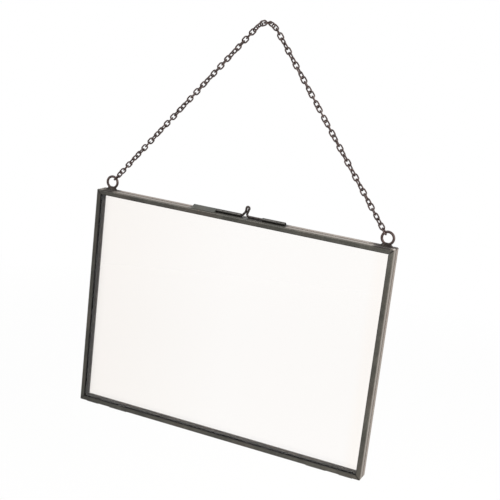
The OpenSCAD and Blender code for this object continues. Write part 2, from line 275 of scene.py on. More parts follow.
@dataclass(frozen=True)
class SheetSteel(Finish):
    """Patinated mild steel sheet, sealed with wax.

    The acid patina leaves an uneven dark grey with greenish and brown clouds,
    short rubbed strokes, and specks of rust where the seal is thin. The wax
    gives a soft sheen that whitens at a glancing angle. The edge faces are
    painted a paler, warmer grey, partly rubbed wear and partly painted sheen.
    The folds next to the seam and the lips are painted near black as painted
    shade, a painted shadow lies under the latch's tubes, and blackened solder
    marks the mitres.

    A span gives the values between which a mark comes or goes, and tones or
    shares are what those values turn into.
    """

    dark: str = "#383731"
    middle: str = "#43413B"
    light: str = "#4E4C45"
    warm: str = "#4C443C"
    rust: str = "#5C473A"
    # Edge-face colour: partly rubbed wear, partly painted sheen on faces that look away
    # from front and back
    rubbed: str = "#8A7F74"
    # Painted shade: near black in the folds beside the seam and on the lips
    painted_shade: str = "#0C0B0A"
    # Blackened solder on the mitres, and painted shadow under the latch's tubes
    solder_and_tube_shadow: str = "#191715"
    stained: str = "#1E1815"
    metallic: float = 0.35
    roughness: float = 0.36
    sheen: Span = (-0.06, 0.1)
    relief: float = 0.18
    relief_mm: float = 0.06
    cloud_mm: float = 9.0
    cloud_stops: tuple[float, float, float] = (0.32, 0.5, 0.68)
    left_tone: float = 0.68
    right_tone: float = 1.28
    mottle_mm: float = 1.1
    stroke_mm: float = 0.45
    stroke_squeeze: float = 0.16
    grain_span: Span = (0.12, 0.4)
    grain_tones: Span = (0.78, 1.24)
    warm_mm: float = 20.7
    warm_span: Span = (0.48, 0.66)
    warm_share: float = 0.5
    fleck_mm: float = 3.2
    fleck_span: Span = (0.05, 0.16)
    thin_span: Span = (0.5, 0.6)
    thin_share: float = 0.7
    sheen_and_wear_share: float = 0.62
    sheen_and_wear_span: Span = (0.25, 0.85)
    sheen_and_wear_tones: Span = (0.72, 1.2)
    lip_share: float = 0.6
    fold_facing: float = 0.7
    mitre_mm: float = 0.3
    mitre_facing: Span = (0.5, 0.8)
    mitre_span: Span = (0.3, 0.6)
    mitre_shares: Span = (0.55, 0.95)
    ragged_mm: float = 1.8
    tube_share: float = 0.5
    tube_upward: float = 0.3
    stain_mm: float = 2.6
    stain_shift_mm: float = 0.8
    stain_narrowing: float = 0.66
    stain_tones: Span = (0.75, 1.3)
    stain_spread: float = 1.7
    stain_share: float = 0.9
    stain_upward: float = 0.4
    stain_dulling: float = 0.45
    plan: LeafPlan = LeafPlan()

    def all_met(
        self, tree: Tree, conditions: Iterable[tuple[Socket, str, float]],
    ) -> Socket:
        """Tests several values against their limits at once.

        Args:
            tree: Node tree of the material.
            conditions: Each value with its test and its limit.

        Returns:
            One where every test is met and zero elsewhere.
        """
        share: Optional[Socket] = None
        for value, test, limit in conditions:
            met = add_node(
                tree, "ShaderNodeMath", {0: value}, {1: limit}, operation=test,
            ).outputs["Value"]
            share = met if share is None else add_node(
                tree, "ShaderNodeMath", {0: share, 1: met}, operation="MULTIPLY",
            ).outputs["Value"]
        return share

    def inset_from(
        self, tree: Tree, place: Socket, middle_mm: float, size_mm: float,
    ) -> Socket:
        """Measures how far the surface lies inside the nearer of two edges.

        Args:
            tree: Node tree of the material.
            place: Place of the surface along one axis.
            middle_mm: Middle between the two edges.
            size_mm: Distance between the two edges.

        Returns:
            The inset, in metres.
        """
        moved = add_node(
            tree, "ShaderNodeMath", {0: place}, {1: middle_mm * MM},
            operation="SUBTRACT",
        )
        away = add_node(
            tree, "ShaderNodeMath", {0: moved.outputs["Value"]}, operation="ABSOLUTE",
        )
        inset = add_node(
            tree, "ShaderNodeMath", {1: away.outputs["Value"]}, {0: size_mm / 2 * MM},
            operation="SUBTRACT",
        )
        return inset.outputs["Value"]

    def read_spot(self, tree: Tree, texture: NodeRef, noise: Socket) -> Spot:
        """Reads all that the marks below depend on.

        Args:
            tree: Node tree of the material.
            texture: The Texture Coordinate node.
            noise: The fine mottle.

        Returns:
            The sockets that hold it.
        """
        parts = add_node(
            tree, "ShaderNodeSeparateXYZ", {"Vector": texture.outputs["Object"]},
        ).outputs
        turned = add_node(
            tree, "ShaderNodeSeparateXYZ", {"Vector": texture.outputs["Normal"]},
        ).outputs
        facing = add_node(
            tree, "ShaderNodeMath", {0: turned["Y"]}, operation="ABSOLUTE",
        )
        plan = self.plan
        from_side = self.inset_from(tree, parts["X"], plan.middle_x, plan.width)
        from_level = self.inset_from(tree, parts["Z"], plan.middle_z, plan.height)
        inset = add_node(
            tree, "ShaderNodeMath", {0: from_side, 1: from_level}, operation="MINIMUM",
        )
        # The folded strips turn inwards too, so only the top edge's own level counts
        at_top = self.all_met(
            tree, ((parts["Z"], "GREATER_THAN", (plan.top_z - plan.fold) * MM),),
        )
        upward = add_node(
            tree, "ShaderNodeMath", {0: turned["Z"], 1: at_top}, operation="MULTIPLY",
        )
        return Spot(
            across=parts["X"], depth=parts["Y"], up=parts["Z"],
            facing=facing.outputs["Value"], upward=upward.outputs["Value"],
            from_side=from_side, from_level=from_level,
            inset=inset.outputs["Value"], noise=noise,
        )

    def beside_latch(self, tree: Tree, spot: Spot) -> Socket:
        """Finds the metal beside the latch, where the edge faces keep the dark patina
        colour.

        Args:
            tree: Node tree of the material.
            spot: What the finish reads.

        Returns:
            Share of the metal beside the latch, with ragged ends.
        """
        ragged = add_node(
            tree, "ShaderNodeMapRange", {"Value": spot.noise},
            {"From Min": NOISE_LOW, "From Max": NOISE_HIGH,
             "To Min": -self.ragged_mm * MM, "To Max": self.ragged_mm * MM},
        )
        wandered = add_node(
            tree, "ShaderNodeMath", {0: spot.across, 1: ragged.outputs["Result"]},
            operation="ADD",
        ).outputs["Value"]
        begun = add_node(
            tree, "ShaderNodeMapRange", {"Value": wandered},
            {"From Min": (self.plan.latch_from - self.ragged_mm) * MM,
             "From Max": self.plan.latch_from * MM, "To Min": 0.0, "To Max": 1.0},
        )
        ended = add_node(
            tree, "ShaderNodeMapRange", {"Value": wandered},
            {"From Min": self.plan.latch_to * MM,
             "From Max": (self.plan.latch_to + self.ragged_mm) * MM,
             "To Min": 1.0, "To Max": 0.0},
        )
        between = add_node(
            tree, "ShaderNodeMath",
            {0: begun.outputs["Result"], 1: ended.outputs["Result"]},
            operation="MULTIPLY",
        )
        upper = self.all_met(
            tree, ((spot.up, "GREATER_THAN", self.plan.middle_z * MM),),
        )
        share = add_node(
            tree, "ShaderNodeMath", {0: between.outputs["Value"], 1: upper},
            operation="MULTIPLY",
        )
        return share.outputs["Value"]

    def painted_tube_shadow(self, tree: Tree, spot: Spot, beside_latch: Socket) -> Socket:
        """Finds the painted shadow under the latch's tubes, on the top edge beside the
        seam.

        Args:
            tree: Node tree of the material.
            spot: What the finish reads.
            beside_latch: Share of the metal beside the latch.

        Returns:
            Share of painted shadow.
        """
        plan = self.plan
        return self.all_met(
            tree,
            ((beside_latch, "GREATER_THAN", self.tube_share),
             (spot.across, "GREATER_THAN", plan.tubes_from * MM),
             (spot.depth, "GREATER_THAN", (plan.seam - plan.tube_reach) * MM),
             (spot.depth, "LESS_THAN", (plan.seam + plan.tube_reach) * MM),
             (spot.upward, "GREATER_THAN", self.tube_upward)),
        )

    def edge_sheen_and_wear(self, tree: Tree, spot: Spot, beside_latch: Socket) -> Socket:
        """Finds the edge faces, which look away from front and back, and paints
        them paler: partly rubbed wear and partly painted sheen.

        Beside the latch the edge faces keep the dark patina colour.

        Args:
            tree: Node tree of the material.
            spot: What the finish reads.
            beside_latch: Share of the metal beside the latch.

        Returns:
            Share of the paler edge colour, partly rubbed wear and partly painted sheen.
        """
        turned = add_node(
            tree, "ShaderNodeMapRange", {"Value": spot.facing},
            {"From Min": self.sheen_and_wear_span[0], "From Max": self.sheen_and_wear_span[1],
             "To Min": self.sheen_and_wear_share, "To Max": 0.0},
        )
        uneven = add_node(
            tree, "ShaderNodeMapRange", {"Value": spot.noise},
            {"From Min": NOISE_LOW, "From Max": NOISE_HIGH,
             "To Min": self.sheen_and_wear_tones[0], "To Max": self.sheen_and_wear_tones[1]},
        )
        # Painted sheen and rubbed wear on the edge faces, made uneven by the mottle
        rubbed = add_node(
            tree, "ShaderNodeMath",
            {0: turned.outputs["Result"], 1: uneven.outputs["Result"]},
            operation="MULTIPLY", use_clamp=True,
        )
        kept = self.all_met(tree, ((spot.inset, "GREATER_THAN", self.plan.fold * MM),))
        dark = add_node(
            tree, "ShaderNodeMath", {0: kept, 1: beside_latch}, operation="MAXIMUM",
        )
        share = add_node(
            tree, "ShaderNodeMath",
            {0: rubbed.outputs["Value"], 1: dark.outputs["Value"]},
            operation="SUBTRACT", use_clamp=True,
        )
        return share.outputs["Value"]

    def painted_fold_shade(self, tree: Tree, spot: Spot) -> Socket:
        """Finds where shade is painted near black: beside the seam and along the lips.

        Args:
            tree: Node tree of the material.
            spot: What the finish reads.

        Returns:
            Share of painted shade.
        """
        plan = self.plan
        beside_seam = self.all_met(
            tree,
            ((spot.depth, "GREATER_THAN", plan.inside_front * MM),
             (spot.depth, "LESS_THAN", plan.inside_back * MM),
             (spot.facing, "GREATER_THAN", self.fold_facing)),
        )
        lips = add_node(
            tree, "ShaderNodeMapRange", {"Value": spot.inset},
            {"From Min": plan.lip_from * MM, "From Max": plan.lip_full * MM,
             "To Min": 0.0, "To Max": 1.0},
        )
        front_lip = add_node(
            tree, "ShaderNodeMapRange", {"Value": spot.depth},
            {"From Min": plan.front_lip * MM, "From Max": plan.inside_front * MM,
             "To Min": 1.0, "To Max": self.lip_share},
        )
        shaded_lips = add_node(
            tree, "ShaderNodeMath",
            {0: lips.outputs["Result"], 1: front_lip.outputs["Result"]},
            operation="MULTIPLY",
        )
        either = add_node(
            tree, "ShaderNodeMath", {0: beside_seam, 1: shaded_lips.outputs["Value"]},
            operation="MAXIMUM",
        )
        return either.outputs["Value"]

    def stains(self, tree: Tree, spot: Spot) -> Socket:
        """Finds the scorched flux round the foot of each ring, on the top edge.

        It reaches further inwards than towards the frame's ends, and it is
        larger at the right ring than at the left.

        Args:
            tree: Node tree of the material.
            spot: What the finish reads.

        Returns:
            Share of stain.
        """
        along = add_node(
            tree, "ShaderNodeMath", {0: spot.from_side},
            {1: (self.plan.ring_inset + self.stain_shift_mm) * MM},
            operation="SUBTRACT",
        )
        away = add_node(
            tree, "ShaderNodeMath", {0: along.outputs["Value"]}, operation="ABSOLUTE",
        )
        ragged = add_node(
            tree, "ShaderNodeMapRange", {"Value": spot.noise},
            {"From Min": NOISE_LOW, "From Max": NOISE_HIGH,
             "To Min": self.stain_tones[0], "To Max": self.stain_tones[1]},
        )
        widened_right = add_node(
            tree, "ShaderNodeMapRange", {"Value": spot.across},
            {**self.plan.ends, "To Min": 1.0, "To Max": self.stain_narrowing},
        )
        uneven = add_node(
            tree, "ShaderNodeMath",
            {0: ragged.outputs["Result"], 1: widened_right.outputs["Result"]},
            operation="MULTIPLY",
        )
        reach = add_node(
            tree, "ShaderNodeMath",
            {0: away.outputs["Value"], 1: uneven.outputs["Value"]},
            operation="MULTIPLY",
        )
        scorched = add_node(
            tree, "ShaderNodeMapRange", {"Value": reach.outputs["Value"]},
            {"From Min": self.stain_mm * MM,
             "From Max": self.stain_mm * self.stain_spread * MM,
             "To Min": self.stain_share, "To Max": 0.0},
        )
        level = self.all_met(tree, ((spot.upward, "GREATER_THAN", self.stain_upward),))
        share = add_node(
            tree, "ShaderNodeMath", {0: scorched.outputs["Result"], 1: level},
            operation="MULTIPLY",
        )
        return share.outputs["Value"]

    def mitres(self, tree: Tree, spot: Spot) -> Socket:
        """Finds the solder on the mitres, on the diagonals of the leaf's corners.

        Args:
            tree: Node tree of the material.
            spot: What the finish reads.

        Returns:
            Share of solder.
        """
        offset = add_node(
            tree, "ShaderNodeMath", {0: spot.from_side, 1: spot.from_level},
            operation="SUBTRACT",
        )
        aside = add_node(
            tree, "ShaderNodeMath", {0: offset.outputs["Value"]}, operation="ABSOLUTE",
        )
        line = add_node(
            tree, "ShaderNodeMapRange", {"Value": aside.outputs["Value"]},
            {"From Min": self.mitre_mm * MM, "From Max": self.mitre_mm * 2 * MM,
             "To Min": 1.0, "To Max": 0.0},
        )
        flat = add_node(
            tree, "ShaderNodeMapRange", {"Value": spot.facing},
            {"From Min": self.mitre_facing[0], "From Max": self.mitre_facing[1],
             "To Min": 0.0, "To Max": 1.0},
        )
        seen = add_node(
            tree, "ShaderNodeMath",
            {0: line.outputs["Result"], 1: flat.outputs["Result"]},
            operation="MULTIPLY",
        )
        patchy = add_node(
            tree, "ShaderNodeMapRange", {"Value": spot.noise},
            {"From Min": self.mitre_span[0], "From Max": self.mitre_span[1],
             "To Min": self.mitre_shares[0], "To Max": self.mitre_shares[1]},
        )
        share = add_node(
            tree, "ShaderNodeMath",
            {0: seen.outputs["Value"], 1: patchy.outputs["Result"]},
            operation="MULTIPLY",
        )
        return share.outputs["Value"]

    def strokes(self, tree: Tree, place: Socket, noise: Socket) -> Socket:
        """Breaks the mottle into short rubbed strokes, which run up and down.

        Args:
            tree: Node tree of the material.
            place: Place of the surface.
            noise: The fine mottle.

        Returns:
            The grain of the surface.
        """
        drawn = add_node(
            tree, "ShaderNodeMapping", {"Vector": place},
            {"Scale": (1.0, 1.0, self.stroke_squeeze)},
        )
        rubs = add_node(
            tree, "ShaderNodeTexNoise", {"Vector": drawn.outputs["Vector"]},
            Pattern.SMOOTH.sized(self.stroke_mm),
        )
        grain = add_node(
            tree, "ShaderNodeMath", {0: noise, 1: rubs.outputs["Fac"]},
            operation="MULTIPLY",
        )
        return grain.outputs["Value"]

    def patina(
        self, tree: Tree, place: Socket, across: Socket, grain: Socket,
    ) -> Socket:
        """Colours the clouds of the patina and draws the grain into them.

        Args:
            tree: Node tree of the material.
            place: Place of the surface.
            across: Place of the surface along X.
            grain: The grain of the surface.

        Returns:
            The patina's colour.
        """
        clouds = add_node(
            tree, "ShaderNodeTexNoise", {"Vector": place},
            Pattern.CLOUDY.sized(self.cloud_mm),
        )
        shades = add_node(tree, "ShaderNodeValToRGB", {"Fac": clouds.outputs["Fac"]})
        colour_ramp(shades, zip(self.cloud_stops, (self.dark, self.middle, self.light)))
        lift = add_node(
            tree, "ShaderNodeMapRange", {"Value": grain},
            {"From Min": self.grain_span[0], "From Max": self.grain_span[1],
             "To Min": self.grain_tones[0], "To Max": self.grain_tones[1]},
        )
        # The patina runs darker at the left end and paler towards the right
        paled = add_node(
            tree, "ShaderNodeMapRange", {"Value": across},
            {**self.plan.ends, "To Min": self.left_tone, "To Max": self.right_tone},
        )
        tone = add_node(
            tree, "ShaderNodeMath",
            {0: lift.outputs["Result"], 1: paled.outputs["Result"]},
            operation="MULTIPLY",
        )
        grained = add_node(
            tree, "ShaderNodeVectorMath",
            {0: shades.outputs["Color"], "Scale": tone.outputs["Value"]},
            operation="SCALE",
        )
        return grained.outputs["Vector"]

    def warmth_and_rust(self, tree: Tree, place: Socket) -> tuple[Socket, Socket]:
        """Finds the brown clouds, and the specks of rust that lie in them.

        Args:
            tree: Node tree of the material.
            place: Place of the surface.

        Returns:
            Share of brown patina and share of rust.
        """
        warmth = add_node(
            tree, "ShaderNodeTexNoise", {"Vector": place},
            Pattern.SMOOTH.sized(self.warm_mm),
        )
        brown = add_node(
            tree, "ShaderNodeMapRange", {"Value": warmth.outputs["Fac"]},
            {"From Min": self.warm_span[0], "From Max": self.warm_span[1],
             "To Min": 0.0, "To Max": self.warm_share},
        )
        flecks = add_node(
            tree, "ShaderNodeTexVoronoi", {"Vector": place},
            {"Scale": per_metre(self.fleck_mm), "Randomness": 1.0},
        )
        near = add_node(
            tree, "ShaderNodeMapRange", {"Value": flecks.outputs["Distance"]},
            {"From Min": self.fleck_span[0], "From Max": self.fleck_span[1],
             "To Min": 1.0, "To Max": 0.0},
        )
        thin = add_node(
            tree, "ShaderNodeMapRange", {"Value": warmth.outputs["Fac"]},
            {"From Min": self.thin_span[0], "From Max": self.thin_span[1],
             "To Min": 0.0, "To Max": self.thin_share},
        )
        specks = add_node(
            tree, "ShaderNodeMath",
            {0: near.outputs["Result"], 1: thin.outputs["Result"]},
            operation="MULTIPLY",
        )
        return brown.outputs["Result"], specks.outputs["Value"]

    def sheens(self, tree: Tree, spot: Spot, stained: Socket, painted_shade: Socket) -> Socket:
        """Roughens the wax unevenly, and more where it is stained or painted as shade.

        Args:
            tree: Node tree of the material.
            spot: What the finish reads.
            stained: Share of stain.
            painted_shade: Share of painted shade.

        Returns:
            The roughness.
        """
        sheen = add_node(
            tree, "ShaderNodeMapRange", {"Value": spot.noise},
            {"From Min": NOISE_LOW, "From Max": NOISE_HIGH,
             "To Min": self.roughness + self.sheen[0],
             "To Max": self.roughness + self.sheen[1]},
        )
        matt = add_node(
            tree, "ShaderNodeMath", {0: stained, 1: painted_shade}, operation="MAXIMUM",
        )
        dulled = add_node(
            tree, "ShaderNodeMath", {0: matt.outputs["Value"]},
            {1: self.stain_dulling}, operation="MULTIPLY",
        )
        roughened = add_node(
            tree, "ShaderNodeMath",
            {0: sheen.outputs["Result"], 1: dulled.outputs["Value"]},
            operation="ADD", use_clamp=True,
        )
        return roughened.outputs["Value"]

    def surface(self, tree: Tree) -> Socket:
        """Adds the nodes of the sheet: patina, wear with painted sheen, solder, stains,
        painted shade and shadow, and wax.

        Args:
            tree: Empty node tree of the material.

        Returns:
            The shader of the finished surface.
        """
        texture = add_node(tree, "ShaderNodeTexCoord")
        place = texture.outputs["Object"]
        noise = add_node(
            tree, "ShaderNodeTexNoise", {"Vector": place},
            Pattern.CRISP.sized(self.mottle_mm),
        ).outputs["Fac"]
        spot = self.read_spot(tree, texture, noise)
        grain = self.strokes(tree, place, noise)
        coloured = self.patina(tree, place, spot.across, grain)
        brown, specks = self.warmth_and_rust(tree, place)
        beside_latch = self.beside_latch(tree, spot)
        stained = self.stains(tree, spot)
        # Painted shade in the folds beside the seam and on the lips
        painted_shade = self.painted_fold_shade(tree, spot)
        for share, shade in (
            (brown, self.warm),
            (specks, self.rust),
            # Paler edge colour: rubbed wear and painted sheen
            (self.edge_sheen_and_wear(tree, spot, beside_latch), self.rubbed),
            # Painted shadow under the latch's tubes
            (self.painted_tube_shadow(tree, spot, beside_latch), self.solder_and_tube_shadow),
            (stained, self.stained),
            (self.mitres(tree, spot), self.solder_and_tube_shadow),
            # Painted shade
            (painted_shade, self.painted_shade),
        ):
            coloured = add_node(
                tree, "ShaderNodeMix", {0: share, 6: coloured}, {7: linear(shade)},
                data_type="RGBA",
            ).outputs[2]
        relief = add_node(
            tree, "ShaderNodeBump", {"Height": grain},
            {"Strength": self.relief, "Distance": self.relief_mm * MM},
        )
        steel = add_node(
            tree, "ShaderNodeBsdfPrincipled",
            {"Base Color": coloured,
             "Roughness": self.sheens(tree, spot, stained, painted_shade),
             "Normal": relief.outputs["Normal"]},
            {"Metallic": self.metallic},
        )
        return steel.outputs["BSDF"]


@dataclass(frozen=True)
class DarkWire(Finish):
    """Drawn steel wire, blackened in oil.

    The oil turns the wire a brown black. Handling rubs the crests of the links
    a little brighter, and the oil leaves it glossier than the sheet.
    """

    dark: str = "#372A28"
    rubbed: str = "#554540"
    metallic: float = 0.5
    roughness: float = 0.34
    sheen: Span = (0.08, -0.05)
    relief: float = 0.15
    relief_mm: float = 0.04
    patch_mm: float = 2.4
    patch_stops: Span = (0.36, 0.66)
    pore_mm: float = 0.35

    def surface(self, tree: Tree) -> Socket:
        """Adds the nodes of the wire: rubbed patches and fine pores.

        Args:
            tree: Empty node tree of the material.

        Returns:
            The shader of the finished surface.
        """
        place = add_node(tree, "ShaderNodeTexCoord").outputs["Object"]
        patches = add_node(
            tree, "ShaderNodeTexNoise", {"Vector": place},
            Pattern.PATCHY.sized(self.patch_mm),
        ).outputs["Fac"]
        shades = add_node(tree, "ShaderNodeValToRGB", {"Fac": patches})
        colour_ramp(shades, zip(self.patch_stops, (self.dark, self.rubbed)))
        pores = add_node(
            tree, "ShaderNodeTexNoise", {"Vector": place},
            Pattern.SMOOTH.sized(self.pore_mm),
        )
        relief = add_node(
            tree, "ShaderNodeBump", {"Height": pores.outputs["Fac"]},
            {"Strength": self.relief, "Distance": self.relief_mm * MM},
        )
        sheen = add_node(
            tree, "ShaderNodeMapRange", {"Value": patches},
            {"From Min": NOISE_LOW, "From Max": NOISE_HIGH,
             "To Min": self.roughness + self.sheen[0],
             "To Max": self.roughness + self.sheen[1]},
        )
        wire = add_node(
            tree, "ShaderNodeBsdfPrincipled",
            {"Base Color": shades.outputs["Color"],
             "Roughness": sheen.outputs["Result"],
             "Normal": relief.outputs["Normal"]},
            {"Metallic": self.metallic},
        )
        return wire.outputs["BSDF"]


@dataclass(frozen=True)
class DarkSolder(Finish):
    """Tin solder, blackened with the same patina as the sheet.

    It cools in a smooth, slightly wrinkled skin, so it is glossier and darker
    than the metal round it. Its flanks, which face sideways and downward, are
    painted darker as painted shade.
    """

    dark: str = "#34322E"
    light: str = "#4D4A45"
    # Painted shade on the flanks, fading from sideways-facing to upward-facing surfaces
    painted_flank_shade: str = "#2F2D29"
    painted_flank_span: Span = (0.05, 0.75)
    metallic: float = 0.4
    roughness: float = 0.3
    relief: float = 0.2
    relief_mm: float = 0.1
    wrinkle_mm: float = 2.2
    wrinkle_stops: Span = (0.35, 0.7)

    def surface(self, tree: Tree) -> Socket:
        """Adds the nodes of the solder: a wrinkled skin and painted shade on the flanks.

        Args:
            tree: Empty node tree of the material.

        Returns:
            The shader of the finished surface.
        """
        texture = add_node(tree, "ShaderNodeTexCoord")
        wrinkles = add_node(
            tree, "ShaderNodeTexNoise", {"Vector": texture.outputs["Object"]},
            Pattern.CLOUDY.sized(self.wrinkle_mm),
        ).outputs["Fac"]
        shades = add_node(tree, "ShaderNodeValToRGB", {"Fac": wrinkles})
        colour_ramp(shades, zip(self.wrinkle_stops, (self.dark, self.light)))
        turned = add_node(
            tree, "ShaderNodeSeparateXYZ", {"Vector": texture.outputs["Normal"]},
        )
        # Painted shade: darker where the surface faces sideways and downward
        down = add_node(
            tree, "ShaderNodeMapRange", {"Value": turned.outputs["Z"]},
            {"From Min": self.painted_flank_span[0], "From Max": self.painted_flank_span[1],
             "To Min": 1.0, "To Max": 0.0},
        )
        coloured = add_node(
            tree, "ShaderNodeMix",
            {0: down.outputs["Result"], 6: shades.outputs["Color"]},
            {7: linear(self.painted_flank_shade)}, data_type="RGBA",
        )
        relief = add_node(
            tree, "ShaderNodeBump", {"Height": wrinkles},
            {"Strength": self.relief, "Distance": self.relief_mm * MM},
        )
        solder = add_node(
            tree, "ShaderNodeBsdfPrincipled",
            {"Base Color": coloured.outputs[2], "Normal": relief.outputs["Normal"]},
            {"Metallic": self.metallic, "Roughness": self.roughness},
        )
        return solder.outputs["BSDF"]


@dataclass(frozen=True)
class FloatGlass(Finish):
    """Clear float glass, cut and left with its factory faces.

    It is very slightly warm in this light. A faint warm reflection is painted
    into its colour: it thins out evenly from the left edge to the middle, and a
    fainter strip of it lies at the right edge. A breath of dust softens its
    reflections. Shadow rays pass it, so what is behind it stays lit.
    """

    tint: str = "#FEFDFC"
    painted_reflection: str = "#FCFAF8"
    faint_painted_reflection: str = "#FEFCFA"
    reflection_from: float = 0.02
    clear_from: float = 0.5
    clear_to: float = 0.93
    faint_reflection_from: float = 0.96
    ior: float = 1.52
    roughness: float = 0.015
    dust_mm: float = 14.0
    dust_span: Span = (0.4, 0.7)
    plan: LeafPlan = LeafPlan()

    def surface(self, tree: Tree) -> Socket:
        """Adds the nodes of the glass: its wiped film and its dust.

        Args:
            tree: Empty node tree of the material.

        Returns:
            The shader of the finished surface.
        """
        place = add_node(tree, "ShaderNodeTexCoord").outputs["Object"]
        dust = add_node(
            tree, "ShaderNodeTexNoise", {"Vector": place},
            Pattern.CRISP.sized(self.dust_mm),
        )
        haze = add_node(
            tree, "ShaderNodeMapRange", {"Value": dust.outputs["Fac"]},
            {"From Min": self.dust_span[0], "From Max": self.dust_span[1],
             "To Min": 0.0, "To Max": self.roughness},
        )
        parts = add_node(tree, "ShaderNodeSeparateXYZ", {"Vector": place})
        across = add_node(
            tree, "ShaderNodeMapRange", {"Value": parts.outputs["X"]}, self.plan.ends,
        )
        # Painted reflection: a faint warm tint along the left edge and a fainter one at
        # the right
        painted_reflection_ramp = add_node(tree, "ShaderNodeValToRGB", {"Fac": across.outputs["Result"]})
        colour_ramp(
            painted_reflection_ramp,
            ((self.reflection_from, self.painted_reflection), (self.clear_from, self.tint),
             (self.clear_to, self.tint), (self.faint_reflection_from, self.faint_painted_reflection)),
        )
        body = add_node(
            tree, "ShaderNodeBsdfPrincipled",
            {"Base Color": painted_reflection_ramp.outputs["Color"], "Roughness": haze.outputs["Result"]},
            {"IOR": self.ior, "Transmission Weight": 1.0},
        )
        clear = add_node(
            tree, "ShaderNodeBsdfTransparent", None, {"Color": linear(self.tint)},
        )
        path = add_node(tree, "ShaderNodeLightPath")
        mixed = add_node(
            tree, "ShaderNodeMixShader",
            {0: path.outputs["Is Shadow Ray"], 1: body.outputs["BSDF"],
             2: clear.outputs["BSDF"]},
        )
        return mixed.outputs["Shader"]


class Workshop:
    """The finishes of the frame's pieces, each made once."""

    def __init__(self) -> None:
        """Makes every finish."""
        self.sheet = SheetSteel("patinated_sheet_steel").build()
        # The rear leaf's rubbed edge colour is partly rubbed wear and partly painted sheen
        self.rear_sheet = SheetSteel(
            "patinated_sheet_steel_rear", dark="#3A3632", middle="#47423C",
            light="#544E47", warm="#5A4A42", rubbed="#95867A", stain_mm=4.0,
        ).build()
        self.rolled = SheetSteel(
            "rolled_sheet_steel", dark="#4C4D48", middle="#565751", light="#62635B",
            sheen_and_wear_share=0.1, cloud_mm=6.0, warm_mm=13.8,
        ).build()
        self.wire = DarkWire("oil_blackened_wire").build()
        self.pin_wire = DarkWire(
            "oil_blackened_pin", dark="#28221F", rubbed="#403834",
        ).build()
        self.solder = DarkSolder("blackened_solder").build()
        self.ring_solder = DarkSolder(
            "scorched_solder", dark="#2A2421", light="#3A3330", painted_flank_shade="#221E1B",
            metallic=0.85, roughness=0.42,
        ).build()
        self.glass = FloatGlass("float_glass").build()


def dress(node: str, material: bpy.types.Material) -> None:
    """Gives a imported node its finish.

    Args:
        node: Name of the node.
        material: Finish that covers all of it.
    """
    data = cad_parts[node].data
    data.materials.clear()
    data.materials.append(material)
    LOG.info("%s: %s", node, material.name)


@dataclass
class Leaf:
    """One glazed leaf: four mitred channels and a pane."""

    layer: Layer

    def finish(self, metal: bpy.types.Material, glass: bpy.types.Material) -> None:
        """Dresses the leaf's channels and pane.

        Args:
            metal: Finish of the channels.
            glass: Finish of the pane.
        """
        for side in Side:
            dress(f"{self.layer.value}_{side.value}_channel", metal)
        dress(f"{self.layer.value}_glass", glass)


class Latch:
    """The knuckle, the two tubes and the looped pin on the top edge."""

    def finish(self, shop: Workshop) -> None:
        """Dresses the latch.

        Args:
            shop: Holder of the finishes.
        """
        dress("latch_knuckle", shop.rolled)
        for side in ENDS:
            dress(f"latch_tube_{side.value}", shop.solder)
        dress("latch_pin", shop.pin_wire)


class Hinges:
    """The two pinned hinges under the bottom edge."""

    def finish(self, shop: Workshop) -> None:
        """Dresses both hinges.

        Args:
            shop: Holder of the finishes.
        """
        for side in ENDS:
            dress(f"{side.value}_outer_knuckle", shop.sheet)
            dress(f"{side.value}_inner_knuckle", shop.sheet)
            dress(f"{side.value}_hinge_tube", shop.rear_sheet)
            dress(f"{side.value}_hinge_pin", shop.wire)


